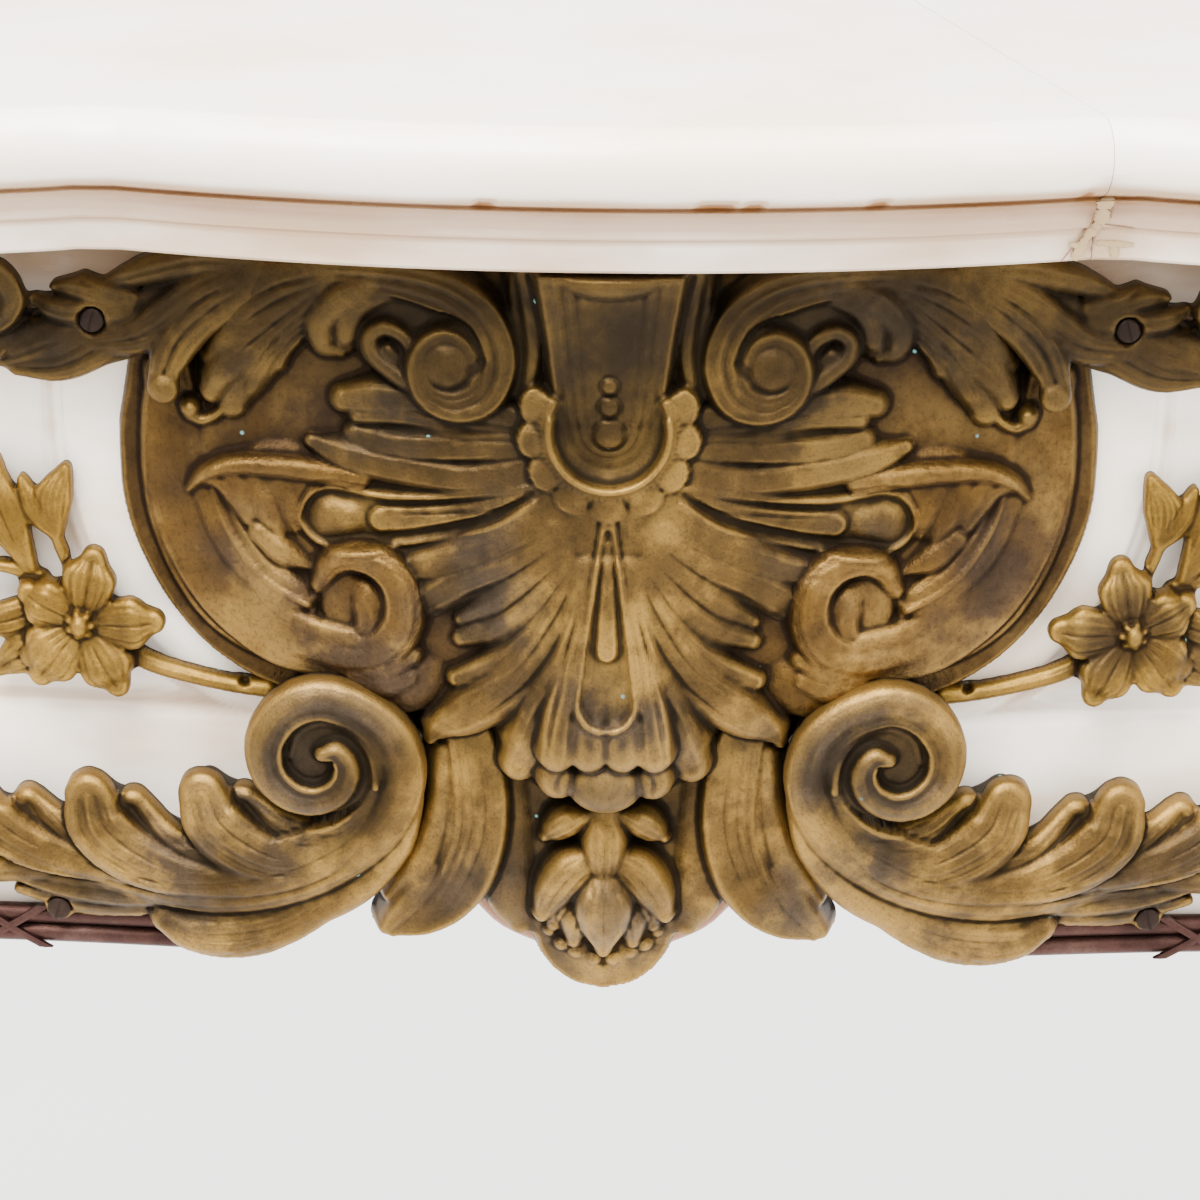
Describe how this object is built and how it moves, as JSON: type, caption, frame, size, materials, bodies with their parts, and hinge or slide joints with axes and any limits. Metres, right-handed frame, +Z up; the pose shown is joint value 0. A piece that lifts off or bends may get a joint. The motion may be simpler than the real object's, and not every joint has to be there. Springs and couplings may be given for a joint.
{
  "type": "fireplace mantel",
  "caption": "Centre section of a mantel: a moulded stone shelf with a serpentine front over a bowed frieze with a cast bronze shell cartouche, scrolls and flower sprays.",
  "frame": {"origin": "middle of the shelf's back face, where the mantel meets the wall", "axes": "+X to the right as seen from the room, -Y out of the wall into the room, +Z up"},
  "size_m": [1, 0.3399, 0.371],
  "materials": {
    "white_onyx": "polished white onyx with warm tan staining at its edges",
    "aged_bronze": "cast and chased bronze with worn old gilding, brown in the hollows",
    "gilt_bronze": "cast bronze with brighter old gilding",
    "red_bronze": "cast bronze with a dull red-brown patina",
    "screw_steel": "darkened steel"
  },
  "bodies": {
    "root": {"shelf_main": "white_onyx", "shelf_right": "white_onyx", "frieze": "white_onyx", "cartouche": "aged_bronze", "scroll_left": "aged_bronze", "scroll_right": "aged_bronze", "upper_leaf_left": "aged_bronze", "upper_leaf_right": "aged_bronze", "flower_spray_left": "gilt_bronze", "flower_spray_right": "gilt_bronze", "rail_left": "red_bronze", "rail_right": "red_bronze", "upper_screw_left": "screw_steel", "upper_screw_right": "screw_steel", "lower_screw_left": "screw_steel", "lower_screw_right": "screw_steel"}
  },
  "joints": []
}
